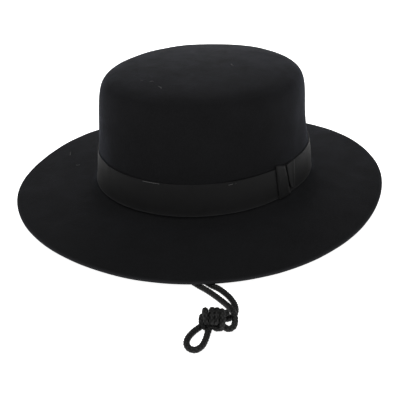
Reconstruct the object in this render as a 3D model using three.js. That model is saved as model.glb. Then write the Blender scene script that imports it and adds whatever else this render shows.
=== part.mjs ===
// A felt gaucho hat with a ribbon band and a chin cord, resting on its brim. Millimetres, +Z up.
// The front of the hat looks along -Y and the wearer's left is +X.
import * as THREE from "three";

// Crown, measured on its outer face
const crownLength = 202.2; // front to back at the foot
const crownWidth = 175.8; // side to side at the foot
const crownHeight = 96.6; // foot to flat top
const crownTaper = 6.2; // how far each side draws in towards the top
const crownEdge = 17; // rounding between the side and the top
const footRadius = 5.2; // bend between the side and the brim
const footPull = 4.6; // how far the foot stands out behind the wearer's left
const pullAngle = 134; // degrees from the front towards the wearer's left
const pullSpread = 45; // degrees to each side
const pullStart = 12; // height over the foot where it starts to fade
const pullEnd = 62; // height over the foot where it has gone

// Felt and brim
const felt = 2.2; // wall
const brimAtFront = 72; // width at the front and back
const brimAtSide = 68; // width at the two sides
const footHeight = 15.4; // brim's upper face at the foot, above the surface the hat rests on
const rimWave = 11; // from the lowest to the highest point of the rim
const brimCurve = 1.2; // 1 is a straight slope, more bends towards the rim

// Ribbon
const ribbon = 1; // thickness of the band, and of its keeper
const bandHeight = 26.8;
const bandLift = 5.4; // from the foot to the band's lower edge
const seat = 0.3; // gap between pieces that touch
const keeperWidth = 14;
const keeperAngle = 88; // degrees from the front towards the wearer's left
const keeperRise = 2.4; // how far it stands above the band
const keeperLean = 6; // how far its top leans to the front

// Chin cord
const cord = 4; // diameter
const cordSides = 8;
const knotLength = 15.6;
const knotWidth = 15.6;
const knotHeight = 15.4;
const knotPlace = [138.6, -155.9]; // middle of the knot on the surface
const knotTurn = 40; // degrees about Z
const anchorWidth = 12;
const anchorDepth = 5;
const anchorHeight = 9;
const anchorLift = 4; // from the foot to the anchor's lower face
const anchorSeat = 0.5; // gap at the middle, where the wall curves away

// Height of the rim's lower face round the hat: degrees from the front towards the wearer's left,
// and the share of rimWave
const rimRise = [
  { angle: 0, rise: 0.85 },
  { angle: 30, rise: 0.52 },
  { angle: 60, rise: 0.34 },
  { angle: 90, rise: 0.5 },
  { angle: 120, rise: 0.97 },
  { angle: 150, rise: 1 },
  { angle: 180, rise: 0.6 },
  { angle: 210, rise: 0.04 },
  { angle: 240, rise: 0.12 },
  { angle: 270, rise: 0.78 },
  { angle: 300, rise: 0.73 },
  { angle: 330, rise: 0.93 },
];

// Routes of the cord's three stretches, chosen by hand. Each point is the middle of the cord.
const leftRoute = [
  [82.0, 0, 19.1], [82.0, 0, 14], [81.0, 0.5, 8.6], [77.5, 1.8, 4.4], [71, 4, 2.4], [60, 7, 2.1],
  [45, 9, 2.1], [30, 5, 2.1], [19, -7, 2.1], [15, -24, 2.1], [18, -43, 2.1], [27, -64, 2.1],
  [41, -84, 2.1], [60, -103, 2.1], [83, -116.2, 2.1], [107.8, -120.9, 2.1], [116.0, -120.8, 2.1],
  [124.7, -122.6, 2.1], [132.3, -125.8, 2.1], [137.4, -129.4, 2.1], [140.8, -133.4, 2.1],
  [142.8, -138.2, 2.1], [143.2, -143.6, 3.2], [141.9, -148.7, 5.3],
];
const rightRoute = [
  [-82.0, 0, 19.1], [-82.0, 0, 14], [-81.0, -0.5, 8.6], [-77.5, -2.5, 4.4], [-71, -6, 2.4],
  [-58, -15, 2.1], [-42, -29, 2.1], [-24, -47, 2.1], [-5, -66, 2.1], [15, -85, 2.1],
  [37, -103, 2.1], [60, -116.5, 2.1], [82, -124, 2.1], [101.1, -127.1, 2.1], [111.6, -127.8, 2.1],
  [123.4, -129.9, 2.2], [132.6, -133.2, 3.4], [139.6, -137.5, 5.9], [144.6, -140.8, 6.8],
  [148.8, -144.4, 5.2], [150.6, -148.6, 3.1], [149.2, -152, 2.7], [145.6, -153.6, 4.2],
];
const endLoopRoute = [
  [134.0, -162.3, 3.1], [133.3, -168.2, 2.2], [134.6, -175.4, 2.1], [137.8, -180.6, 2.1],
  [142.4, -182.6, 2.1], [145.9, -180.9, 2.1], [146.6, -176.2, 2.1], [144.4, -169.6, 2.2],
  [141.3, -163.1, 3.5],
];

const halfLength = crownLength / 2;
const halfWidth = crownWidth / 2;
const roundFoot = (halfLength + halfWidth) / 2; // the foot's radius before the hat is made oval
const roundTop = roundFoot - crownTaper;
const roundBrim = (brimAtFront + brimAtSide) / 2;
const topHeight = footHeight + crownHeight;
const wallStart = footHeight + footRadius;
const wallEnd = topHeight - crownEdge;
const bandTop = footHeight + bandLift + bandHeight;

const feltMaterial = new THREE.MeshStandardMaterial({ color: 0x1d1e21, roughness: 0.95, metalness: 0 });
const ribbonMaterial = new THREE.MeshStandardMaterial({ color: 0x19191b, roughness: 0.6, metalness: 0 });
const cordMaterial = new THREE.MeshStandardMaterial({ color: 0x121214, roughness: 0.7, metalness: 0 });

const hat = new THREE.Group();

function addPiece(name, geometry, material) {
  const piece = new THREE.Mesh(geometry, material);
  piece.name = name;
  hat.add(piece);
}

// A smooth curve through the rim's stations
function riseAt(angle) {
  const turn = THREE.MathUtils.euclideanModulo(THREE.MathUtils.radToDeg(angle), 360);
  const count = rimRise.length;
  let last = count - 1;
  while (rimRise[last].angle > turn) {
    last -= 1;
  }
  const row = (step) => rimRise[(last + step + count) % count];
  const span = THREE.MathUtils.euclideanModulo(row(1).angle - row(0).angle, 360);
  const t = (turn - row(0).angle) / span;
  const startSlope = (row(1).rise - row(-1).rise) / 2;
  const endSlope = (row(2).rise - row(0).rise) / 2;
  const drop = row(1).rise - row(0).rise;
  return row(0).rise + t * (startSlope + t * (3 * drop - 2 * startSlope - endSlope
    + t * (startSlope + endSlope - 2 * drop)));
}

// The rim's lowest point is on the surface
const rimSamples = Array.from({ length: 360 }, (_, degree) => riseAt(THREE.MathUtils.degToRad(degree)));
const lowestRise = Math.min(...rimSamples);

// How far the foot's outline is pulled out at an angle and a height
function pullAt(angle, height) {
  const turn = THREE.MathUtils.radToDeg(angle) - pullAngle;
  const nearest = THREE.MathUtils.euclideanModulo(turn + 180, 360) - 180;
  const lobe = Math.max(1 - (nearest / pullSpread) ** 2, 0) ** 2;
  return footPull * lobe * (1 - THREE.MathUtils.smoothstep(height - footHeight, pullStart, pullEnd));
}

// Takes a point of a round hat, given by radius, angle from the front and height, to the oval, waved one
function hatPoint(radius, angle, height) {
  const inner = Math.min(radius / roundFoot, 1);
  const share = Math.max(radius - roundFoot, 0) / roundBrim;
  const brim = brimAtSide + (brimAtFront - brimAtSide) * Math.cos(angle) ** 2;
  const normal = new THREE.Vector2(halfLength * Math.sin(angle), -halfWidth * Math.cos(angle)).normalize();
  const rimTop = (riseAt(angle) - lowestRise) * rimWave + felt;
  const slope = Math.min(share / (1 - felt / 2 / roundBrim), 1) ** brimCurve;
  const outward = brim * share + pullAt(angle, height) * inner ** 2 * Math.max(1 - share, 0) ** 2;
  return new THREE.Vector3(
    halfWidth * Math.sin(angle) * inner + normal.x * outward,
    -halfLength * Math.cos(angle) * inner + normal.y * outward,
    height + (rimTop - footHeight) * slope,
  );
}

// The side of the round crown at a height
function wallRadius(height) {
  return THREE.MathUtils.mapLinear(height, wallStart, wallEnd, roundFoot, roundTop);
}

function reshape(geometry, place) {
  const positions = geometry.attributes.position;
  const point = new THREE.Vector3();
  for (let i = 0; i < positions.count; i += 1) {
    point.fromBufferAttribute(positions, i);
    const moved = place(point);
    positions.setXYZ(i, moved.x, moved.y, moved.z);
  }
  geometry.computeVertexNormals();
  return geometry;
}

function turned(profile, segments) {
  const geometry = new THREE.LatheGeometry(profile, segments).rotateX(Math.PI / 2);
  return reshape(geometry, (point) => {
    const radius = Math.hypot(point.x, point.y);
    const angle = radius > 0 ? Math.atan2(point.x, -point.y) : 0;
    return hatPoint(radius, angle, point.z);
  });
}

function arc(centre, radius, from, to, steps) {
  return Array.from({ length: steps + 1 }, (_, step) => {
    const angle = THREE.MathUtils.degToRad(THREE.MathUtils.lerp(from, to, step / steps));
    return new THREE.Vector2(centre[0] + radius * Math.cos(angle), centre[1] + radius * Math.sin(angle));
  });
}

function line(from, to, steps) {
  const start = new THREE.Vector2(...from);
  const end = new THREE.Vector2(...to);
  return Array.from({ length: steps }, (_, step) => start.clone().lerp(end, (step + 1) / (steps + 1)));
}

// Crown and brim: down the inside, round the rim and back up the outside
function makeFeltBody() {
  const edgeCentre = [roundTop - crownEdge, wallEnd];
  const footCentre = [roundFoot + footRadius, wallStart];
  const rimStart = roundFoot + roundBrim - felt / 2;
  const underside = footHeight - felt;
  const profile = [
    new THREE.Vector2(0, topHeight - felt),
    ...arc(edgeCentre, crownEdge - felt, 90, 0, 8),
    ...line([roundTop - felt, wallEnd], [wallRadius(bandTop) - felt, bandTop], 2),
    new THREE.Vector2(wallRadius(bandTop) - felt, bandTop),
    ...arc(footCentre, footRadius + felt, 180, 270, 4),
    ...line([footCentre[0], underside], [rimStart, underside], 6),
    ...arc([rimStart, footHeight - felt / 2], felt / 2, -90, 90, 4),
    ...line([rimStart, footHeight], [footCentre[0], footHeight], 6),
    ...arc(footCentre, footRadius, 270, 180, 4),
    new THREE.Vector2(wallRadius(bandTop), bandTop),
    ...line([wallRadius(bandTop), bandTop], [roundTop, wallEnd], 2),
    ...arc(edgeCentre, crownEdge, 0, 90, 8),
    new THREE.Vector2(0, topHeight),
  ];
  addPiece("felt_body", turned(profile, 72), feltMaterial);
}

// The ribbon round the foot of the crown
function makeRibbonBand() {
  const low = footHeight + bandLift;
  const corners = [
    [wallRadius(low) + seat, low],
    [wallRadius(low) + seat + ribbon, low],
    [wallRadius(bandTop) + seat + ribbon, bandTop],
    [wallRadius(bandTop) + seat, bandTop],
    [wallRadius(low) + seat, low],
  ];
  const profile = corners.map((corner) => new THREE.Vector2(...corner));
  addPiece("ribbon_band", turned(profile, 72), ribbonMaterial);
}

// The tab over the band's joint, bent round the crown
function makeBandKeeper() {
  const height = bandHeight + keeperRise;
  const low = footHeight + bandLift;
  const middle = THREE.MathUtils.degToRad(keeperAngle);
  const reach = Math.hypot(halfWidth * Math.cos(middle), halfLength * Math.sin(middle));
  const tab = new THREE.BoxGeometry(keeperWidth, ribbon, height, 6, 1, 3);
  tab.translate(0, ribbon / 2 + ribbon + 2 * seat, height / 2);
  reshape(tab, (point) => {
    const along = point.x + keeperLean * (0.5 - point.z / height);
    const level = low + point.z;
    return hatPoint(wallRadius(level) + point.y, middle + along / reach, level);
  });
  // The bend puts the tab's width on the other hand, so its faces are turned round
  const order = tab.index.array;
  for (let i = 0; i < order.length; i += 3) {
    [order[i], order[i + 1]] = [order[i + 1], order[i]];
  }
  addPiece("band_keeper", tab, ribbonMaterial);
}

// A small plain tab on the inner wall; side is 1 for the wearer's left and -1 for the right
function makeAnchor(name, side) {
  const low = footHeight + anchorLift;
  const wall = halfWidth * ((wallRadius(low) - felt) / roundFoot);
  const tab = new THREE.BoxGeometry(anchorDepth, anchorWidth, anchorHeight);
  const leanIn = halfWidth * ((wallRadius(low) - wallRadius(low + anchorHeight)) / roundFoot);
  tab.translate(side * (wall - anchorSeat - leanIn - anchorDepth / 2), 0, low + anchorHeight / 2);
  addPiece(name, tab, ribbonMaterial);
}

// A stretch of cord along its hand-chosen points
function makeCord(name, points, steps) {
  const route = new THREE.CatmullRomCurve3(points.map((point) => new THREE.Vector3(...point)));
  const section = new THREE.Shape();
  for (let side = 0; side < cordSides; side += 1) {
    const angle = (2 * Math.PI * side) / cordSides;
    const corner = [(cord / 2) * Math.cos(angle), (cord / 2) * Math.sin(angle)];
    if (side === 0) {
      section.moveTo(...corner);
    } else {
      section.lineTo(...corner);
    }
  }
  section.closePath();
  const tube = new THREE.ExtrudeGeometry(section, { steps, extrudePath: route, bevelEnabled: false });
  addPiece(name, tube, cordMaterial);
}

// The outer shape of the knot, lying on the surface
function makeKnot() {
  const knot = new THREE.SphereGeometry(1, 16, 10).rotateX(Math.PI / 2);
  knot.scale(knotLength / 2, knotWidth / 2, knotHeight / 2);
  knot.rotateZ(THREE.MathUtils.degToRad(knotTurn));
  knot.translate(knotPlace[0], knotPlace[1], knotHeight / 2);
  addPiece("cord_knot", knot, cordMaterial);
}

makeFeltBody();
makeRibbonBand();
makeBandKeeper();
makeAnchor("cord_anchor_left", 1);
makeAnchor("cord_anchor_right", -1);
makeCord("cord_left", leftRoute, 30);
makeCord("cord_right", rightRoute, 32);
makeCord("cord_end_loop", endLoopRoute, 14);
makeKnot();

export default hat;
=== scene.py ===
import math

import bmesh
import bpy
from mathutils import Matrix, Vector, noise


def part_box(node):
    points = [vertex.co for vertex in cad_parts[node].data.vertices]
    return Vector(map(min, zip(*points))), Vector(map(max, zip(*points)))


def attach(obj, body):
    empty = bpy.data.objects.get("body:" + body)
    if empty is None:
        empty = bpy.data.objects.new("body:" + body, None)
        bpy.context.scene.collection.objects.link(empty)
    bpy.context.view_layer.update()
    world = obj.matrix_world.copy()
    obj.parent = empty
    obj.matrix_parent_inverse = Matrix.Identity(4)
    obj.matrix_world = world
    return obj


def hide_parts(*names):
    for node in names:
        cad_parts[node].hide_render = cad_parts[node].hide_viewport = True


# Felt gaucho hat with a grosgrain band and a chin cord, resting on its brim.
# Metres. The front of the hat looks along -Y, the wearer's left is +X.
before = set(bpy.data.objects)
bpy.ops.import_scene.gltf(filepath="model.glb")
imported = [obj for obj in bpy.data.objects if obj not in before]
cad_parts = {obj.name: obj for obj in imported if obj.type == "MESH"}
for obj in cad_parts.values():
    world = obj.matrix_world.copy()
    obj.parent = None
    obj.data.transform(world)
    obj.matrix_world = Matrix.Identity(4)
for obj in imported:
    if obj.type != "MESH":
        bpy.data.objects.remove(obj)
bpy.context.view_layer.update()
print("frame loaded", sorted(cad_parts))


# camera, at the photo's angle

cameraView = {
    "eye": (0.3657, -0.4351, 0.2908),
    "forward": (-0.5703, 0.6701, -0.4750),
    "lens": 61.8,
    "sensor": 36,
    "clipStart": 0.02,
    "clipEnd": 20,
}


def makeCamera():
    data = bpy.data.cameras.new("photoCamera")
    data.lens = cameraView["lens"]
    data.sensor_width = cameraView["sensor"]
    data.clip_start = cameraView["clipStart"]
    data.clip_end = cameraView["clipEnd"]
    camera = bpy.data.objects.new("photoCamera", data)
    camera.location = cameraView["eye"]
    camera.rotation_mode = "QUATERNION"
    camera.rotation_quaternion = Vector(cameraView["forward"]).to_track_quat("-Z", "Y")
    bpy.context.collection.objects.link(camera)
    bpy.context.scene.camera = camera


makeCamera()
print("camera placed")


# helpers for every piece

weld = 1e-6  # points nearer than this are one


def finishMesh(bm, name, material, smooth=True):
    mesh = bpy.data.meshes.new(name)
    bm.to_mesh(mesh)
    bm.free()
    if smooth:
        mesh.polygons.foreach_set("use_smooth", [True] * len(mesh.polygons))
    mesh.materials.append(material)
    piece = bpy.data.objects.new(name, mesh)
    bpy.context.collection.objects.link(piece)
    return piece


def smoothstep(low, high, x):
    t = min(max((x - low) / (high - low), 0), 1)
    return t * t * (3 - 2 * t)


def unevenness(point, layers):
    # each layer of noise has its size across, a seed that picks its place in the noise, and its depth
    def layer(size, seed, depth):
        return noise.noise(point / size + Vector((seed, seed * 1.7, -seed))) * depth

    return sum(layer(*row) for row in layers)


class NodePad:
    # short way to lay out a material's nodes and links
    def __init__(self, name):
        self.material = bpy.data.materials.new(name)
        self.material.use_nodes = True
        self.nodes = self.material.node_tree.nodes
        self.links = self.material.node_tree.links
        self.shader = self.nodes["Principled BSDF"]

    def add(self, kind, **settings):
        node = self.nodes.new(kind)
        for key, value in settings.items():
            setattr(node, key, value)
        return node

    def put(self, node, **values):
        for key, value in values.items():
            name = key.replace("_", " ")
            if hasattr(value, "is_linked"):
                self.links.new(value, node.inputs[name])
            else:
                node.inputs[name].default_value = value
        return node

    def coordinates(self):
        return self.add("ShaderNodeTexCoord").outputs["Object"]

    def layer(self, name):
        # a value kept on the mesh's points
        return self.add("ShaderNodeAttribute", attribute_name=name).outputs["Fac"]

    def cloud(self, source, scale, detail, roughness, distortion=0):
        node = self.add("ShaderNodeTexNoise")
        self.put(node, Vector=source, Scale=scale, Detail=detail)
        self.put(node, Roughness=roughness, Distortion=distortion)
        return node.outputs["Fac"]

    def ramp(self, source, low, high, colourLow, colourHigh):
        node = self.add("ShaderNodeValToRGB")
        first, last = node.color_ramp.elements
        first.position, last.position = low, high
        first.color, last.color = colourLow, colourHigh
        self.links.new(source, node.inputs["Fac"])
        return node.outputs["Color"]

    def tones(self, source, look):
        return self.ramp(source, look["toneFrom"], look["toneTo"], look["dark"], look["light"])

    def maths(self, operation, a, b):
        node = self.add("ShaderNodeMath", operation=operation)
        for index, value in enumerate((a, b)):
            if hasattr(value, "is_linked"):
                self.links.new(value, node.inputs[index])
            else:
                node.inputs[index].default_value = value
        return node.outputs["Value"]

    def total(self, *parts):
        # values added up, each by its share
        total, *others = [self.maths("MULTIPLY", value, share) for value, share in parts]
        for other in others:
            total = self.maths("ADD", total, other)
        return total

    def blend(self, share, a, b):
        node = self.add("ShaderNodeMix", data_type="RGBA")
        for index, value in ((0, share), (6, a), (7, b)):
            if hasattr(value, "is_linked"):
                self.links.new(value, node.inputs[index])
            else:
                node.inputs[index].default_value = value
        return node.outputs[2]

    def bump(self, height, strength, distance, under=None):
        node = self.add("ShaderNodeBump")
        self.put(node, Height=height, Strength=strength, Distance=distance)
        if under is not None:
            self.links.new(under, node.inputs["Normal"])
        return node.outputs["Normal"]

    def finish(self, base, normal, look):
        # the colour and the relief go in, with what the look says of the surface
        self.links.new(base, self.shader.inputs["Base Color"])
        self.links.new(normal, self.shader.inputs["Normal"])
        self.shader.inputs["Roughness"].default_value = look["roughness"]
        self.shader.inputs["Specular IOR Level"].default_value = look["specular"]
        return self.material


# materials

def grey(value, blue=1.0):
    # blue is a share of the value, and the green goes a little of the way with it
    return (value, value * (1 + (blue - 1) * 0.15), value * blue, 1)


# a cloud is its scale, detail, roughness and distortion
feltLook = {
    "dark": grey(0.0050, 1.07),
    "light": grey(0.0094, 1.08),
    "cutEdgeFibreAndHighlight": grey(0.018, 1.1),  # lighter loose fibre along the rim, with a painted highlight where the cut edge catches the light
    "fibreCloud": (2600, 3, 0.65, 0.6),
    "fibreShare": 0.5,
    "fibreStrength": 0.4,
    "fibreDepth": 0.00025,
    "tuftCloud": (700, 4, 0.6, 0.3),
    "tuftShare": 0.5,
    "tuftStrength": 0.35,
    "tuftDepth": 0.0005,
    "patchCloud": (28, 3, 0.5),
    "patchShare": 0.25,
    "toneFrom": 0.32,
    "toneTo": 0.68,
    "napCloud": (55, 4, 0.6, 0.4),
    "napFrom": 0.35,
    "napTo": 0.65,
    "roughness": 0.92,
    "specular": 0.06,
    "sheenLow": grey(0.038),
    "sheenHigh": grey(0.082),
    "sheenTint": (0.68, 0.75, 1, 1),
    "sheenRoughness": 0.36,
}


def makeFeltMaterial():
    pad = NodePad("woolFelt")
    place = pad.coordinates()
    fibre = pad.cloud(place, *feltLook["fibreCloud"])
    tuft = pad.cloud(place, *feltLook["tuftCloud"])
    patch = pad.cloud(place, *feltLook["patchCloud"])
    tone = pad.total((fibre, feltLook["fibreShare"]), (tuft, feltLook["tuftShare"]))
    tone = pad.total((tone, 1 - feltLook["patchShare"]), (patch, feltLook["patchShare"]))
    # the rim is painted lighter: partly its loose fibre, partly a painted highlight on the outward-facing
    # cut edge
    base = pad.blend(pad.layer("rim"), pad.tones(tone, feltLook), feltLook["cutEdgeFibreAndHighlight"])
    tufts = pad.bump(tuft, feltLook["tuftStrength"], feltLook["tuftDepth"])
    fibres = pad.bump(fibre, feltLook["fibreStrength"], feltLook["fibreDepth"], tufts)
    # the nap lies a little differently from place to place
    nap = pad.cloud(place, *feltLook["napCloud"])
    nap = pad.ramp(nap, feltLook["napFrom"], feltLook["napTo"], feltLook["sheenLow"], feltLook["sheenHigh"])
    pad.links.new(nap, pad.shader.inputs["Sheen Weight"])
    pad.shader.inputs["Sheen Roughness"].default_value = feltLook["sheenRoughness"]
    pad.shader.inputs["Sheen Tint"].default_value = feltLook["sheenTint"]
    return pad.finish(base, fibres, feltLook)


ribbonLook = {
    "dark": grey(0.0046, 1.05),
    "light": grey(0.0070, 1.05),
    "paintedEdgeHighlight": grey(0.016, 1.05),  # painted highlight along its lower edge, where the edge catches the light
    "yarnCloud": (3200, 2, 0.6),
    "yarnShare": 0.6,
    "yarnStrength": 0.25,
    "yarnDepth": 0.00012,
    "patchCloud": (60, 2, 0.5),
    "patchShare": 0.4,
    "toneFrom": 0.3,
    "toneTo": 0.7,
    "roughness": 0.55,
    "specular": 0.12,
    "sheen": 0.095,
    "sheenRoughness": 0.2,
}


def makeRibbonMaterial():
    pad = NodePad("grosgrainRibbon")
    place = pad.coordinates()
    yarn = pad.cloud(place, *ribbonLook["yarnCloud"])
    patch = pad.cloud(place, *ribbonLook["patchCloud"])
    tone = pad.total((yarn, ribbonLook["yarnShare"]), (patch, ribbonLook["patchShare"]))
    # the lower edge is painted lighter: a painted highlight where the edge catches the light
    base = pad.blend(pad.layer("paintedEdgeHighlight"), pad.tones(tone, ribbonLook), ribbonLook["paintedEdgeHighlight"])
    yarns = pad.bump(yarn, ribbonLook["yarnStrength"], ribbonLook["yarnDepth"])
    pad.shader.inputs["Sheen Weight"].default_value = ribbonLook["sheen"]
    pad.shader.inputs["Sheen Roughness"].default_value = ribbonLook["sheenRoughness"]
    return pad.finish(base, yarns, ribbonLook)


cordLook = {
    # dark is mostly the painted shade at the bottom of the braid's grooves
    "dark": grey(0.0006, 1.0),
    "light": grey(0.018, 0.95),
    "yarnCloud": (4200, 2, 0.6, 0.8),
    "yarnShare": 0.35,
    "yarnStrength": 0.4,
    "yarnDepth": 0.00015,
    "patchCloud": (240, 2, 0.5),
    "patchShare": 0.25,
    # how much the braid's height tones the cord: painted shade in the grooves, lighter crests
    "grooveShadeShare": 0.55,
    "toneFrom": 0.605,
    "toneTo": 0.80,
    "roughness": 0.55,
    "specular": 0.2,
}


def makeCordMaterial():
    pad = NodePad("braidedCord")
    place = pad.coordinates()
    yarn = pad.cloud(place, *cordLook["yarnCloud"])
    patch = pad.cloud(place, *cordLook["patchCloud"])
    # the braid's grooves are painted darker and its crests lighter: painted shade in the grooves
    tone = pad.total((yarn, cordLook["yarnShare"]), (patch, cordLook["patchShare"]),
                     (pad.layer("weave"), cordLook["grooveShadeShare"]))
    yarns = pad.bump(yarn, cordLook["yarnStrength"], cordLook["yarnDepth"])
    return pad.finish(pad.tones(tone, cordLook), yarns, cordLook)


feltMaterial = makeFeltMaterial()
ribbonMaterial = makeRibbonMaterial()
cordMaterial = makeCordMaterial()
print("materials made")


# chin cord: one loop of cord from the left anchor through the knot and back to the right anchor

chinCord = {
    "diameter": 0.004,
    "sides": 30,
    "ringStep": 0.00036,
    "plaits": 5,  # strands each way round
    "plaitLay": 0.0024,  # along the cord, one strand's place to the next
    "groove": 0.00172,  # from the middle to the bottom of a groove
    "relief": 0.00056,
    "overPower": 0.8,  # how full a strand is across itself
    "underPower": 0.3,  # and how steeply it dips under the next
    "pathStep": 12,  # rings between the places that are declared
}

leftRoute = [
    (0.082, 0, 0.0225), (0.082, 0, 0.0191), (0.082, 0, 0.014), (0.081, 0.0005, 0.0086),
    (0.0775, 0.0018, 0.0044), (0.071, 0.004, 0.0024), (0.060, 0.007, 0.0021), (0.045, 0.009, 0.0021),
    (0.030, 0.005, 0.0021), (0.019, -0.007, 0.0021), (0.015, -0.024, 0.0021), (0.018, -0.043, 0.0021),
    (0.027, -0.064, 0.0021), (0.041, -0.084, 0.0021), (0.060, -0.103, 0.0021), (0.083, -0.1162, 0.0021),
    (0.1078, -0.1209, 0.0021), (0.116, -0.1208, 0.0021), (0.1247, -0.1226, 0.0021),
    (0.1323, -0.1258, 0.0021), (0.1374, -0.1294, 0.0021), (0.1408, -0.1334, 0.0021),
    (0.1428, -0.1382, 0.0021), (0.1432, -0.1436, 0.0032), (0.1419, -0.1487, 0.0053),
]
knotRouteOut = [(0.1398, -0.1528, 0.0082), (0.1362, -0.1575, 0.0072)]
endLoopRoute = [
    (0.1340, -0.1623, 0.0031), (0.1333, -0.1682, 0.0022), (0.1346, -0.1754, 0.0021),
    (0.1378, -0.1806, 0.0021), (0.1424, -0.1826, 0.0021), (0.1459, -0.1809, 0.0021),
    (0.1466, -0.1762, 0.0021), (0.1444, -0.1696, 0.0022), (0.1413, -0.1631, 0.0035),
]
knotRouteBack = [(0.1400, -0.1582, 0.0055), (0.1425, -0.1548, 0.0052)]
rightRoute = [
    (-0.082, 0, 0.0225), (-0.082, 0, 0.0191), (-0.082, 0, 0.014), (-0.081, -0.0005, 0.0086),
    (-0.0775, -0.0025, 0.0044), (-0.071, -0.006, 0.0024), (-0.058, -0.015, 0.0021),
    (-0.042, -0.029, 0.0021), (-0.024, -0.047, 0.0021), (-0.005, -0.066, 0.0021),
    (0.015, -0.085, 0.0021), (0.037, -0.103, 0.0021), (0.060, -0.1165, 0.0021),
    (0.082, -0.124, 0.0021), (0.1011, -0.1271, 0.0021), (0.1116, -0.1278, 0.0021),
    (0.1234, -0.1299, 0.0022), (0.1326, -0.1332, 0.0034), (0.1396, -0.1375, 0.0059),
    (0.1446, -0.1408, 0.0068), (0.1488, -0.1444, 0.0052), (0.1506, -0.1486, 0.0031),
    (0.1492, -0.152, 0.0027), (0.1456, -0.1536, 0.0042),
]


def curvePoint(p, knots, t):
    # Barry and Goldman's pyramid over four points
    def between(a, b, first, last):
        return a.lerp(b, (t - knots[first]) / (knots[last] - knots[first]))

    a = [between(p[i], p[i + 1], i, i + 1) for i in range(3)]
    b = [between(a[i], a[i + 1], i, i + 2) for i in range(2)]
    return between(b[0], b[1], 1, 2)


def smoothRoute(points, step):
    # centripetal curve through the points, then evenly spaced along its length
    route = [Vector(p) for p in points]
    route = [2 * route[0] - route[1]] + route + [2 * route[-1] - route[-2]]
    fine = 24
    dense = []
    for i in range(1, len(route) - 2):
        p = route[i - 1:i + 3]
        knots = [0]
        for a, b in zip(p, p[1:]):
            knots.append(knots[-1] + (b - a).length ** 0.5)
        span = knots[2] - knots[1]
        dense += [curvePoint(p, knots, knots[1] + span * k / fine) for k in range(fine)]
    dense.append(route[-2])
    even = [dense[0]]
    travelled = 0
    for a, b in zip(dense, dense[1:]):
        length = (b - a).length
        while travelled + length >= step * len(even):
            even.append(a.lerp(b, (step * len(even) - travelled) / length))
        travelled += length
    return even, travelled


def braidHeight(turn, along):
    # 0 in the grooves between strands, 1 on the crown of the strand that lies over
    a = chinCord["plaits"] * turn + along / chinCord["plaitLay"]
    b = chinCord["plaits"] * turn - along / chinCord["plaitLay"]
    riseA = math.sin(math.pi * (a % 1))
    riseB = math.sin(math.pi * (b % 1))
    if (math.floor(a) + math.floor(b)) % 2 == 0:
        over, under = riseA, riseB
    else:
        over, under = riseB, riseA
    return over ** chinCord["overPower"] * under ** chinCord["underPower"]


def braidTube(bm, points, step):
    # one stretch of cord added to bm, with how high each place stands kept as "weave"
    weave = bm.verts.layers.float.get("weave") or bm.verts.layers.float.new("weave")
    even, length = smoothRoute(points, step)
    rings = len(even)
    sides = chinCord["sides"]
    ends = [(even[max(i - 1, 0)], even[min(i + 1, rings - 1)]) for i in range(rings)]
    tangents = [(after - before).normalized() for before, after in ends]
    across = tangents[0].orthogonal().normalized()
    frames = []
    for tangent in tangents:
        across = (across - tangent * across.dot(tangent)).normalized()
        frames.append((across.copy(), tangent.cross(across)))
    made = bmesh.ops.create_grid(bm, x_segments=rings - 1, y_segments=sides, size=1)["verts"]
    for v in made:
        ring = round((v.co.x + 1) / 2 * (rings - 1))
        turn = (v.co.y + 1) / 2
        v[weave] = braidHeight(turn, ring * step)
        radius = chinCord["groove"] + chinCord["relief"] * v[weave]
        first, second = frames[ring]
        angle = turn * math.tau
        v.co = even[ring] + (first * math.cos(angle) + second * math.sin(angle)) * radius
    bmesh.ops.remove_doubles(bm, verts=made, dist=weld)
    bmesh.ops.holes_fill(bm, edges=[e for e in bm.edges if e.is_boundary], sides=0)
    return even, length


cordPoints = leftRoute + knotRouteOut + endLoopRoute + knotRouteBack + rightRoute[::-1]


def makeChinCord():
    bm = bmesh.new()
    even, length = braidTube(bm, cordPoints, chinCord["ringStep"])
    bmesh.ops.recalc_face_normals(bm, faces=bm.faces)
    piece = finishMesh(bm, "chin_cord", cordMaterial)
    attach(piece, "root")
    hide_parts("cord_left", "cord_right", "cord_end_loop")
    return piece, even, length


chinCordPiece, cordLine, cordLength = makeChinCord()
print("chin cord", round(cordLength, 4), "m,", len(cordLine), "rings")


# knot: wraps of the same cord side by side round the strands, and a short cut tail

cordKnot = {
    "middle": (0.1386, -0.1559, 0.0077),
    "axis": (0.7615, 0.6481, 0),
}

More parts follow.
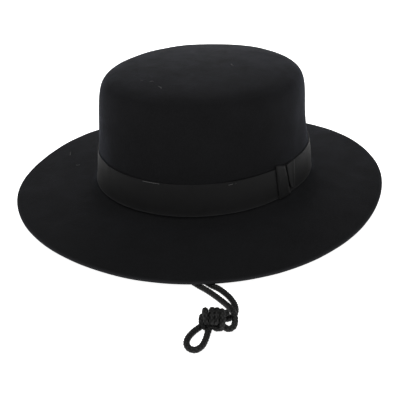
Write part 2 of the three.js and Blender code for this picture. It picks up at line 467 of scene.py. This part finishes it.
# each stretch in millimetres from the knot's middle: along its axis, up, and out to the front
knotStretches = {
    "firstWrap": [(-2.5, -2, -2), (-4.6, -4, -4), (-4.8, 0, -5.7), (-4.6, 4, -4), (-4.4, 5.6, 0),
                  (-4.2, 4.7, 3.2), (-3.9, 2.4, 4.7), (-3.5, 0.3, 3.7), (-2, -0.8, 1)],
    "secondWrap": [(0.5, -2, -2), (-0.4, -4.1, -4.1), (-0.2, 0, -5.8), (0, 4.2, -4.2), (0.1, 5.8, 0),
                   (-0.2, 4.9, 3.3), (-0.5, 2.5, 4.9), (-0.6, 0.3, 3.8), (-0.2, -0.8, 1)],
    "thirdWrap": [(3, -2, -2), (3.4, -4, -4), (3.4, 0, -5.6), (3.3, 4.1, -4), (3.1, 5.5, 0),
                  (2.8, 4.7, 3.2), (2.5, 2.4, 4.7), (2.2, 0.2, 3.6), (1.6, -0.8, 1)],
    "endWrap": [(4.6, -1.5, -1.5), (6, -2.6, -4.3), (6.3, 1.6, -5), (6.4, 4.4, -2.2), (6.4, 4.5, 1.6),
                (6.4, 2, 4.5), (6.3, -1.6, 4.8), (5.8, -4, 4), (4, -4.6, 3.8), (2, -4.2, 3.8),
                (0.3, -3, 2.6), (-1, -2, 0)],
    "sideLobe": [(-4, -1, -3), (-6.3, 0.6, -2), (-6.9, 0.2, 0.6), (-6.6, -1.6, 2.8), (-5, -3.4, 3.9),
                 (-3, -4, 3.4), (-1, -3, 1)],
    "cutTail": [(3, 0.6, -1.6), (6, 1, -2.4), (8.6, 1.9, -3.4), (11, 2.7, -4.4)],
}


def makeKnot():
    middle = Vector(cordKnot["middle"])
    axis = Vector(cordKnot["axis"]).normalized()
    upward = Vector((0, 0, 1))
    outward = axis.cross(upward)
    bm = bmesh.new()
    total = 0
    for stretch in knotStretches.values():
        points = [middle + (axis * a + upward * b + outward * c) / 1000 for a, b, c in stretch]
        total += braidTube(bm, points, chinCord["ringStep"])[1]
    bmesh.ops.recalc_face_normals(bm, faces=bm.faces)
    piece = finishMesh(bm, "cord_knot_wraps", cordMaterial)
    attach(piece, "root")
    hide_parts("cord_knot")
    print("knot", round(total, 4), "m of cord")
    return piece


knotPiece = makeKnot()


# felt body: crown and brim in one piece

feltBody = {
    "crownLength": 0.2022,
    "crownWidth": 0.1758,
    "crownHeight": 0.0966,
    "crownTaper": 0.0062,
    "crownEdge": 0.017,
    "footRadius": 0.0052,
    "footBend": 0.0085,  # the bend as it is seen, softer
    "footPull": 0.0046,  # how far the foot stands out behind the wearer's left
    "pullAngle": 134,
    "pullSpread": 45,
    "pullStart": 0.012,  # height over the foot where it starts to fade
    "pullEnd": 0.062,
    "thickness": 0.0022,
    "brimAtFront": 0.072,
    "brimAtSide": 0.068,
    "footHeight": 0.0154,
    "rimWave": 0.011,
    "brimCurve": 1.2,
    "rimCorner": 0.0007,
    "rimSegments": 3,
    "bendSegments": 8,
    "edgeSegments": 6,
    "steps": 360,
    "topSwell": 0.0056,  # the flat top is a little fuller in its middle
    "swellReach": 0.9,
    "edgeRounding": 0.011,  # before it is softened
    "edgeSoftening": 38,
    "fineLengths": (0.04, 0.02, 0.01, 0.005, 0.0026),  # edges longer than each are halved in turn
    "fibreAndHighlightFrom": 0.0012,  # the lighter rim, loose fibre and painted highlight, starts this far in from the rim
    "fibreAndHighlightTo": 0.0001,
}

# soft dents of a few tenths of a millimetre, both faces of the felt together
feltDents = {
    "outwards": [(0.05, 3.1, 0.0007), (0.016, 8.4, 0.00022)],  # size across, seed, depth
    "upwards": [(0.06, 5.5, 0.0005), (0.018, 1.2, 0.00018)],
    "upright": 0.4,  # heights count for less, so a dent is taller than wide
    "crown": (0.02, 0.05),  # heights between which the crown's dents start
    "top": (0.03, 0.09),
    "middle": (0, 0.05),  # radii
    "brim": (0.096, 0.12),
}

# height of the rim round the hat, evenly spaced: degrees from the front towards the wearer's left,
# share of rimWave
rimRise = [
    (0, 0.85), (30, 0.52), (60, 0.34), (90, 0.50), (120, 0.97), (150, 1),
    (180, 0.60), (210, 0.04), (240, 0.12), (270, 0.78), (300, 0.73), (330, 0.93),
]

halfLength = feltBody["crownLength"] / 2
halfWidth = feltBody["crownWidth"] / 2
roundFoot = (halfLength + halfWidth) / 2
roundTop = roundFoot - feltBody["crownTaper"]
roundBrim = (feltBody["brimAtFront"] + feltBody["brimAtSide"]) / 2
topHeight = feltBody["footHeight"] + feltBody["crownHeight"]
wallStart = feltBody["footHeight"] + feltBody["footRadius"]
wallEnd = topHeight - feltBody["crownEdge"]


def riseAt(angle):
    turn = math.degrees(angle) % 360
    count = len(rimRise)
    spacing = 360 / count
    last = int(turn // spacing)
    before, here, after, beyond = (rimRise[(last + k) % count][1] for k in (-1, 0, 1, 2))
    t = turn / spacing - last
    startSlope = (after - before) / 2
    endSlope = (beyond - here) / 2
    drop = after - here
    return here + t * (startSlope + t * (3 * drop - 2 * startSlope - endSlope
                                         + t * (startSlope + endSlope - 2 * drop)))


lowestRise = min(riseAt(math.radians(d)) for d in range(360))


def pullAt(angle, height):
    nearest = (math.degrees(angle) - feltBody["pullAngle"] + 180) % 360 - 180
    lobe = max(1 - (nearest / feltBody["pullSpread"]) ** 2, 0) ** 2
    overFoot = height - feltBody["footHeight"]
    fade = 1 - smoothstep(feltBody["pullStart"], feltBody["pullEnd"], overFoot)
    return feltBody["footPull"] * lobe * fade


def hatPoint(radius, angle, height):
    # takes a point of a round hat to the oval one with its waved brim
    inner = min(radius / roundFoot, 1)
    share = max(radius - roundFoot, 0) / roundBrim
    longer = feltBody["brimAtFront"] - feltBody["brimAtSide"]
    brim = feltBody["brimAtSide"] + longer * math.cos(angle) ** 2
    normal = Vector((halfLength * math.sin(angle), -halfWidth * math.cos(angle))).normalized()
    rimTop = (riseAt(angle) - lowestRise) * feltBody["rimWave"] + feltBody["thickness"]
    full = 1 - feltBody["thickness"] / 2 / roundBrim
    slope = min(share / full, 1) ** feltBody["brimCurve"]
    outward = brim * share + pullAt(angle, height) * inner ** 2 * max(1 - share, 0) ** 2
    return Vector((
        halfWidth * math.sin(angle) * inner + normal.x * outward,
        -halfLength * math.cos(angle) * inner + normal.y * outward,
        height + (rimTop - feltBody["footHeight"]) * slope,
    ))


def wallRadius(height):
    share = (height - wallStart) / (wallEnd - wallStart)
    return roundFoot + (roundTop - roundFoot) * share


def roundedOutline(bm, corners, rounding):
    # corners joined by edges, those in rounding rounded by their offset and segments
    verts = [bm.verts.new((r, 0, z)) for r, z in corners]
    for a, b in zip(verts, verts[1:]):
        bm.edges.new((a, b))
    for index, (offset, segments) in rounding.items():
        bmesh.ops.bevel(bm, geom=[verts[index]], offset=offset, offset_type="OFFSET",
                        segments=segments, profile=0.5, affect="VERTICES", material=-1)


def dentFelt(bm):
    for v in bm.verts:
        place = Vector((v.co.x, v.co.y, v.co.z * feltDents["upright"]))
        outward = Vector((v.co.x, v.co.y, 0))
        inCrown = smoothstep(*feltDents["crown"], v.co.z)
        push = unevenness(place, feltDents["outwards"])
        if outward.length > weld:
            awayFromMiddle = smoothstep(*feltDents["middle"], outward.length)
            v.co += outward.normalized() * push * inCrown * awayFromMiddle
        onTop = smoothstep(*feltDents["top"], v.co.z)
        onBrim = smoothstep(*feltDents["brim"], outward.length)
        lift = unevenness(place, feltDents["upwards"])
        v.co.z += lift * (inCrown * onTop + (1 - inCrown) * onBrim)


def makeFeltBody():
    foot = feltBody["footHeight"]
    wall = feltBody["thickness"]
    rim = roundFoot + roundBrim
    bend = feltBody["footBend"]
    edge = feltBody["crownEdge"]
    rounding = feltBody["edgeRounding"]
    corners = [
        (0, topHeight - wall), (roundTop - wall, topHeight - wall), (roundFoot - wall, foot - wall),
        (rim, foot - wall), (rim, foot), (roundFoot, foot), (roundTop, topHeight), (0, topHeight),
    ]
    edgeSegments = feltBody["edgeSegments"]
    bendSegments = feltBody["bendSegments"]
    rimRounding = (feltBody["rimCorner"], feltBody["rimSegments"])
    roundings = {
        1: (rounding - wall, edgeSegments), 2: (bend + wall, bendSegments), 3: rimRounding,
        4: rimRounding, 5: (bend, bendSegments), 6: (rounding, edgeSegments),
    }
    bm = bmesh.new()
    roundedOutline(bm, corners, roundings)
    for length in feltBody["fineLengths"]:
        long = [e for e in bm.edges if e.calc_length() > length]
        bmesh.ops.subdivide_edges(bm, edges=long, cuts=1)
    # the crown's edge runs softly into its side and top
    edgeVerts = [v for v in bm.verts if v.co.x > roundTop - 2 * edge and v.co.z > wallEnd - edge]
    for _ in range(feltBody["edgeSoftening"]):
        bmesh.ops.smooth_vert(bm, verts=edgeVerts, factor=0.5, use_axis_x=True, use_axis_z=True)
    for v in bm.verts:
        if v.co.x < weld:
            v.co.x = 0
    # an eighth of the turn, then seven copies of it
    eighth = math.tau / 8
    bmesh.ops.spin(bm, geom=bm.verts[:] + bm.edges[:], cent=(0, 0, 0), axis=(0, 0, 1),
                   angle=eighth, steps=feltBody["steps"] // 8)
    bmesh.ops.spin(bm, geom=bm.verts[:] + bm.edges[:] + bm.faces[:], cent=(0, 0, 0),
                   axis=(0, 0, 1), angle=math.tau - eighth, steps=7, use_duplicate=True)
    bmesh.ops.remove_doubles(bm, verts=bm.verts, dist=weld)
    rimFibreAndHighlight = bm.verts.layers.float.new("rim")
    for v in bm.verts:
        radius = math.hypot(v.co.x, v.co.y)
        angle = math.atan2(v.co.x, -v.co.y) if radius > weld else 0
        # mask of the lighter rim: loose fibre and painted highlight
        v[rimFibreAndHighlight] = smoothstep(rim - feltBody["fibreAndHighlightFrom"], rim - feltBody["fibreAndHighlightTo"], radius)
        swell = feltBody["topSwell"] * max(1 - (radius / roundTop / feltBody["swellReach"]) ** 2, 0)
        swell *= v.co.z > wallEnd
        v.co = hatPoint(radius, angle, v.co.z + swell)
    bmesh.ops.recalc_face_normals(bm, faces=bm.faces)
    dentFelt(bm)
    piece = finishMesh(bm, "hat_body", feltMaterial)
    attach(piece, "root")
    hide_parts("felt_body")
    return piece


hatBody = makeFeltBody()
print("felt body", len(hatBody.data.polygons), "faces before smoothing")


# ribbon: grosgrain, its ribs run across its width

ribbonBand = {
    "height": 0.0268,
    "lift": 0.0054,
    "tilt": 0.0010,  # its line runs a little higher at the front right than at the back left
    "tiltTo": math.radians(-20),
    "seat": 0.0003,
    "thickness": 0.0007,
    "edgeInset": 0.0002,  # its edges are rounded: the back ends this far short of them
    "edgeBulge": 0.0001,  # and the middle of its thickness this far past them
    "edgeRows": (0.00025, 0.001, 0.004, 0.010),  # rows of the mesh, in from each edge
    "ribPitch": 0.0008,
    "ribDepth": 0.00004,
    "columnsPerRib": 4,
    "border": 0.0012,  # where the ribs run out and the weave is closer, and how far up the painted highlight on the lower edge reaches
    "ribAtBorder": 0.35,
    "uneven": [(0.02, 2.2, 0.00018), (0.006, 6.2, 0.00005)],  # size across, seed, depth
    "unevenRadius": 0.09,
    "unevenUpright": 0.5,
    "flareHeight": 0.0025,
    "flare": 0.0003,  # its lower edge stands out a little
    "frontFrom": 0.4,  # share of its thickness where its front begins to take the ribs
    "pressedEdge": 0.00045,  # and is thinner
    "pressed": 0.0010,  # its upper edge is pulled down under the keeper
    "pressedAt": 88.5,
    "pressedSpread": 1.6,
    # where the top edge stands off the felt: degrees, spread, how far
    "gapes": [(89.3, 1.1, 0.0009), (92.6, 1.0, 0.0008), (-14, 3, 0.0003), (28, 4, 0.0003),
              (60, 3, 0.0003)],
}


def bandShift(angle):
    return ribbonBand["tilt"] * math.cos(angle - ribbonBand["tiltTo"])


def bendOut(height):
    # how far the felt has come out of the wall's line where it bends into the brim
    bend = feltBody["footBend"]
    below = max(bend - (height - feltBody["footHeight"]), 0)
    return bend - math.sqrt(bend ** 2 - min(below, bend) ** 2)


def nearDegrees(angle, place, spread):
    return math.exp(-((angle - math.radians(place)) / math.radians(spread)) ** 2)


def ribbonOutline(low, high):
    # out from the wall, height: up the front and down the back
    seat = ribbonBand["seat"]
    front = seat + ribbonBand["thickness"]
    between = seat + ribbonBand["thickness"] * 0.5
    rows = ribbonBand["edgeRows"]
    inset = ribbonBand["edgeInset"]
    bulge = ribbonBand["edgeBulge"]
    middle = (low + high) / 2
    outline = [(seat, low + inset), (between, low - bulge)]
    outline += [(front, low + row) for row in rows]
    outline += [(front, middle)]
    outline += [(front, high - row) for row in reversed(rows)]
    outline += [(between, high + bulge), (seat, high - inset), (seat, middle)]
    return outline


def makeRibbonBand():
    low = feltBody["footHeight"] + ribbonBand["lift"]
    high = low + ribbonBand["height"]
    middle = (low + high) / 2
    seat = ribbonBand["seat"]
    thick = ribbonBand["thickness"]
    border = ribbonBand["border"]
    ribAtBorder = ribbonBand["ribAtBorder"]
    around = ribbonBand["unevenRadius"]
    ribs = round(math.tau * roundFoot / ribbonBand["ribPitch"])
    bm = bmesh.new()
    outline = ribbonOutline(low, high)
    columns = ribs * ribbonBand["columnsPerRib"]
    bmesh.ops.create_grid(bm, x_segments=columns, y_segments=len(outline), size=1)
    for v in bm.verts:
        out, height = outline[round((v.co.y + 1) / 2 * len(outline)) % len(outline)]
        radius = wallRadius(height) + out
        angle = math.tau * (v.co.x + 1) / 2
        v.co = (radius * math.sin(angle), -radius * math.cos(angle), height)
    bmesh.ops.remove_doubles(bm, verts=bm.verts, dist=weld)
    paintedEdgeHighlight = bm.verts.layers.float.new("paintedEdgeHighlight")
    for v in bm.verts:
        radius = math.hypot(v.co.x, v.co.y)
        angle = math.atan2(v.co.x, -v.co.y)
        out = radius - wallRadius(v.co.z)
        height = v.co.z
        # painted highlight: full at the lower edge, gone a border's height up
        v[paintedEdgeHighlight] = 1 - smoothstep(0, border, height - low)
        share = smoothstep(seat + thick * ribbonBand["frontFrom"], seat + thick, out)
        inside = smoothstep(0, border, ribbonBand["height"] / 2 - abs(height - middle))
        rib = 0.5 + 0.5 * math.cos(angle * ribs)
        out += share * ribbonBand["ribDepth"] * rib * (ribAtBorder + (1 - ribAtBorder) * inside)
        place = Vector((math.sin(angle) * around, -math.cos(angle) * around,
                        height * ribbonBand["unevenUpright"]))
        out += unevenness(place, ribbonBand["uneven"])
        nearEdge = 1 - smoothstep(low, low + ribbonBand["flareHeight"], height)
        out += bendOut(height) + ribbonBand["flare"] * nearEdge
        out -= ribbonBand["pressedEdge"] * nearEdge * share
        upper = smoothstep(middle, high, height)
        for degrees, spread, lifted in ribbonBand["gapes"]:
            out += lifted * upper * nearDegrees(angle, degrees, spread)
        pressed = nearDegrees(angle, ribbonBand["pressedAt"], ribbonBand["pressedSpread"])
        height += bandShift(angle) - ribbonBand["pressed"] * upper * pressed
        v.co = hatPoint(wallRadius(height) + out, angle, height)
    bmesh.ops.recalc_face_normals(bm, faces=bm.faces)
    piece = finishMesh(bm, "grosgrain_band", ribbonMaterial)
    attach(piece, "root")
    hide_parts("ribbon_band")
    return piece


bandPiece = makeRibbonBand()
print("band", len(bandPiece.data.polygons), "faces")


# keeper: a short length of the ribbon folded round the band over its joint

bandKeeper = {
    "leftEdge": (85.3, 83.1),  # degrees at its lower and its upper end
    "rightEdge": (93.9, 89.9),
    "rise": 0.0024,
    "rightDrop": 0.0026,  # its upper edge is lower on the right
    "thickness": 0.0005,
    "leftPress": 0.0005,  # how much nearer to the band each edge lies
    "rightPress": 0.0007,
    "leftPressFrom": 0.7,  # share of the way from its middle to that edge
    "rightPressFrom": 0.55,
    "dropFrom": 0.5,  # share of its height
    "dropTo": 0.95,
    "frontFrom": 0.0012,  # out from the wall
    "frontTo": 0.002,
    "ribAtEdge": 0.3,
    "plainEdge": 0.1,
    "columns": 24,
    "rows": 240,
}

# section of the keeper, from behind the band over the top, down the front and in below
keeperSection = {
    # out from the wall, distance under its top
    "overTop": [(0.0004, 0.0045), (0.0004, 0.0014), (0.00062, 0.0006), (0.0011, 0.0002),
                (0.0015, 0.0004), (0.0018, 0.0010), (0.0020, 0.0022), (0.0021, 0.008)],
    "front": 0.0021,
    # out from the wall, height above the band's lower edge
    "inBelow": [(0.0020, 0.008), (0.0019, 0.0016), (0.0017, 0.0003), (0.0014, -0.0004),
                (0.0010, -0.0005), (0.0006, -0.0001), (0.00045, 0.0008), (0.0004, 0.0035)],
}

# the band's own end lies over its beginning and comes out beside the keeper
bandEnd = {
    "from": 0.75,  # degrees past the keeper's edge
    "to": 98.5,
    "lowLeft": 0.0046,
    "lowRight": 0.0006,
    "underTop": 0.0003,
    "clearance": 0.00004,
    "lift": 0.0009,
    "liftReach": 0.75,  # share of its width
    "corner": 0.0005,  # how far its lower corner stands off
    "cornerHeight": 0.006,
    "thickness": 0.0005,
    "columns": 20,
    "rows": 50,
}


def pathAt(path, share):
    # the place at a share of the path's length, and its distance from the start
    lengths = [0]
    for a, b in zip(path, path[1:]):
        lengths.append(lengths[-1] + math.dist(a, b))
    place = share * lengths[-1]
    i = 0
    while place > lengths[i + 1] and i < len(path) - 2:
        i += 1
    t = (place - lengths[i]) / (lengths[i + 1] - lengths[i])
    return tuple(a + (b - a) * t for a, b in zip(path[i], path[i + 1])), place


def keeperAngle(side, share):
    # side runs from -1 at its left edge to 1 at its right one, share up its height
    share = min(max(share, 0), 1)
    leftLow, leftHigh = bandKeeper["leftEdge"]
    rightLow, rightHigh = bandKeeper["rightEdge"]
    left = leftLow + (leftHigh - leftLow) * share
    right = rightLow + (rightHigh - rightLow) * share
    return math.radians(left + (right - left) * (side + 1) / 2)


def makeKeeper():
    low = feltBody["footHeight"] + ribbonBand["lift"]
    tall = ribbonBand["height"] + bandKeeper["rise"]
    path = [(out, tall - under) for out, under in keeperSection["overTop"]]
    path += [(keeperSection["front"], tall * 0.5)] + keeperSection["inBelow"]
    ribAtEdge = bandKeeper["ribAtEdge"]
    bm = bmesh.new()
    bmesh.ops.create_grid(bm, x_segments=bandKeeper["columns"], y_segments=bandKeeper["rows"], size=1)
    for v in bm.verts:
        side = v.co.x
        (out, height), place = pathAt(path, (v.co.y + 1) / 2)
        share = height / tall
        angle = keeperAngle(side, share)
        rib = 0.5 + 0.5 * math.cos(math.tau * place / ribbonBand["ribPitch"])
        inside = smoothstep(0, bandKeeper["plainEdge"], 1 - abs(side))
        out += ribbonBand["ribDepth"] * rib * (ribAtEdge + (1 - ribAtEdge) * inside)
        front = smoothstep(bandKeeper["frontFrom"], bandKeeper["frontTo"], out)
        left = smoothstep(bandKeeper["leftPressFrom"], 1, -side)
        right = smoothstep(bandKeeper["rightPressFrom"], 1, side)
        out -= front * (bandKeeper["leftPress"] * left + bandKeeper["rightPress"] * right)
        upper = smoothstep(bandKeeper["dropFrom"], bandKeeper["dropTo"], share)
        height -= bandKeeper["rightDrop"] * smoothstep(-1, 1, side) * upper
        level = low + height
        out += bendOut(level)
        v.co = hatPoint(wallRadius(level) + out, angle, level + bandShift(angle))
    bmesh.ops.recalc_face_normals(bm, faces=bm.faces)
    bmesh.ops.solidify(bm, geom=bm.faces[:], thickness=bandKeeper["thickness"])
    bmesh.ops.recalc_face_normals(bm, faces=bm.faces)
    piece = finishMesh(bm, "folded_keeper", ribbonMaterial)
    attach(piece, "root")
    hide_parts("band_keeper")


def makeBandEnd():
    low = feltBody["footHeight"] + ribbonBand["lift"]
    tall = ribbonBand["height"]
    rest = ribbonBand["seat"] + ribbonBand["thickness"] + ribbonBand["ribDepth"]
    lowLeft = bandEnd["lowLeft"]
    bm = bmesh.new()
    bmesh.ops.create_grid(bm, x_segments=bandEnd["columns"], y_segments=bandEnd["rows"], size=1)
    for v in bm.verts:
        across = (v.co.x + 1) / 2
        bottom = lowLeft + (bandEnd["lowRight"] - lowLeft) * across
        height = bottom + (tall - bandEnd["underTop"] - bottom) * (v.co.y + 1) / 2
        start = keeperAngle(1, height / tall) + math.radians(bandEnd["from"])
        angle = start + (math.radians(bandEnd["to"]) - start) * across
        lifted = bandEnd["lift"] * (1 - smoothstep(0, bandEnd["liftReach"], across))
        lowest = 1 - smoothstep(0, bandEnd["cornerHeight"], height - bottom)
        corner = bandEnd["corner"] * lowest * (1 - across)
        out = rest + bandEnd["clearance"] + lifted + corner
        level = low + height
        out += bendOut(level)
        v.co = hatPoint(wallRadius(level) + out, angle, level + bandShift(angle))
    bmesh.ops.recalc_face_normals(bm, faces=bm.faces)
    bmesh.ops.solidify(bm, geom=bm.faces[:], thickness=-bandEnd["thickness"])
    bmesh.ops.recalc_face_normals(bm, faces=bm.faces)
    piece = finishMesh(bm, "band_overlap", ribbonMaterial)
    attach(piece, "root")


makeKeeper()
makeBandEnd()
print("keeper and band end made")


# anchors: small ribbon tabs sewn inside the crown, the cord's ends run into them

cordAnchor = {"bevel": 0.0012, "segments": 3}


def makeAnchor(name, node):
    low, high = (Vector(corner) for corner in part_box(node))
    middle, size = (low + high) / 2, high - low
    bm = bmesh.new()
    bmesh.ops.create_cube(bm, size=1)
    bmesh.ops.scale(bm, vec=size, verts=bm.verts)
    bmesh.ops.bevel(bm, geom=bm.edges[:], offset=cordAnchor["bevel"], segments=cordAnchor["segments"],
                    profile=0.5, affect="EDGES", material=-1)
    bmesh.ops.translate(bm, vec=middle, verts=bm.verts)
    piece = finishMesh(bm, name, ribbonMaterial)
    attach(piece, "root")
    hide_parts(node)


for side in ("left", "right"):
    makeAnchor(f"sewn_anchor_{side}", f"cord_anchor_{side}")
print("anchors made")


# fluff caught on the felt and ends of thread along the band's upper edge, where the photo shows them

strayThread = {
    "thickness": 0.00015,  # half of it
    "lie": 0.0002,
    "sides": 6,
    "ringStep": 0.0004,
    "overlap": 1.1,
    "onTheBand": ("frontThread", "sideThread"),
    "dark": grey(0.05),
    "light": grey(0.16),
    "fibreCloud": (3000, 2, 0.5),
    "toneFrom": 0.35,
    "toneTo": 0.65,
    "roughness": 0.8,
}

# middle, length, heading in degrees from the wearer's left towards the back, climb from end to end,
# and how far it bows sideways
strayThreads = {
    "crownSpeck": ((-0.0115, -0.0635, 0.114), 0.002, 0, 0, 0),
    "crownTuft": ((-0.0025, -0.0615, 0.114), 0.003, 25, 0, 0.001),
    "crownHair": ((0.0105, -0.066, 0.114), 0.005, -20, 0, 0.0007),
    "topCurl": ((0.0235, 0.0095, 0.118), 0.0055, -30, 0, -0.0008),
    "brimHair": ((-0.127, -0.052, 0.014), 0.008, -40, 0, 0.0003),
    "brimFluff": ((-0.0995, -0.065, 0.015), 0.003, 20, 0, -0.002),
    "frontThread": ((0.026, -0.095, 0.0477), 0.0145, 20, 0, 0),
    "sideThread": ((0.0735, -0.053, 0.0458), 0.0065, 60, 0.0006, 0),
}


def threadRoute(middle, length, heading, climb, bow):
    # five places along its bow
    turn = math.radians(heading)
    along = Vector((math.cos(turn), math.sin(turn), 0)) * length
    along.z = climb
    aside = Vector((-math.sin(turn), math.cos(turn), 0)) * bow
    shares = [k / 4 - 0.5 for k in range(5)]
    return [Vector(middle) + along * share + aside * (1 - 4 * share ** 2) for share in shares]


def makeThreadMaterial():
    pad = NodePad("greyThread")
    fibre = pad.cloud(pad.coordinates(), *strayThread["fibreCloud"])
    pad.links.new(pad.tones(fibre, strayThread), pad.shader.inputs["Base Color"])
    pad.shader.inputs["Roughness"].default_value = strayThread["roughness"]
    return pad.material


def makeStrayThreads():
    radius = strayThread["thickness"]
    bm = bmesh.new()
    for name, thread in strayThreads.items():
        # each is laid on the nearest place of the felt, or of the band
        under = bandPiece if name in strayThread["onTheBand"] else hatBody
        found = [under.closest_point_on_mesh(place) for place in threadRoute(*thread)]
        laid = [spot + normal * strayThread["lie"] for _, spot, normal, _ in found]
        even = smoothRoute(laid, strayThread["ringStep"])[0]
        for a, b in zip(even, even[1:]):
            place = (b - a).to_track_quat("Z", "Y").to_matrix().to_4x4()
            place.translation = (a + b) / 2
            bmesh.ops.create_cone(bm, cap_ends=True, segments=strayThread["sides"],
                                  depth=(b - a).length * strayThread["overlap"],
                                  radius1=radius, radius2=radius, matrix=place)
    bmesh.ops.recalc_face_normals(bm, faces=bm.faces)
    piece = finishMesh(bm, "stray_threads", makeThreadMaterial())
    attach(piece, "root")


makeStrayThreads()
print("threads made")


# floor and light

studio = {
    "floorSize": 6,
    "floorShade": (0.86, 0.86, 0.86, 1),
    "floorRoughness": 0.9,
    "floorGlow": 0.95,
    "worldStrength": 0.35,
    # name, place, size across, power
    "lights": [
        ("back", (-0.45, 0.54, 0.36), 0.5, 2.4),
        ("overhead", (-0.15, -0.1, 1.9), 1.4, 12.5),
        ("front", (0.35, -0.55, 1.0), 0.8, 3.1),
        ("side", (0.6, 0.25, 0.3), 0.4, 0.25),
    ],
}


def makeStudio():
    bm = bmesh.new()
    bmesh.ops.create_grid(bm, x_segments=1, y_segments=1, size=studio["floorSize"] / 2)
    pad = NodePad("paleFloor")
    pad.shader.inputs["Roughness"].default_value = studio["floorRoughness"]
    pad.shader.inputs["Base Color"].default_value = studio["floorShade"]
    pad.shader.inputs["Emission Color"].default_value = (1, 1, 1, 1)
    pad.shader.inputs["Emission Strength"].default_value = studio["floorGlow"]
    floor = finishMesh(bm, "studio_floor", pad.material, smooth=False)
    world = bpy.data.worlds.new("studioWorld")
    world.use_nodes = True
    background = world.node_tree.nodes["Background"]
    background.inputs["Color"].default_value = (1, 1, 1, 1)
    background.inputs["Strength"].default_value = studio["worldStrength"]
    bpy.context.scene.world = world
    for name, place, size, power in studio["lights"]:
        data = bpy.data.lights.new(name, "AREA")
        data.shape = "DISK"
        data.size = size
        data.energy = power
        light = bpy.data.objects.new(name, data)
        light.visible_camera = False
        light.location = place
        light.rotation_mode = "QUATERNION"
        light.rotation_quaternion = (-Vector(place)).to_track_quat("-Z", "Y")
        bpy.context.collection.objects.link(light)
    bpy.context.scene.view_settings.view_transform = "Standard"


makeStudio()
print("studio made")
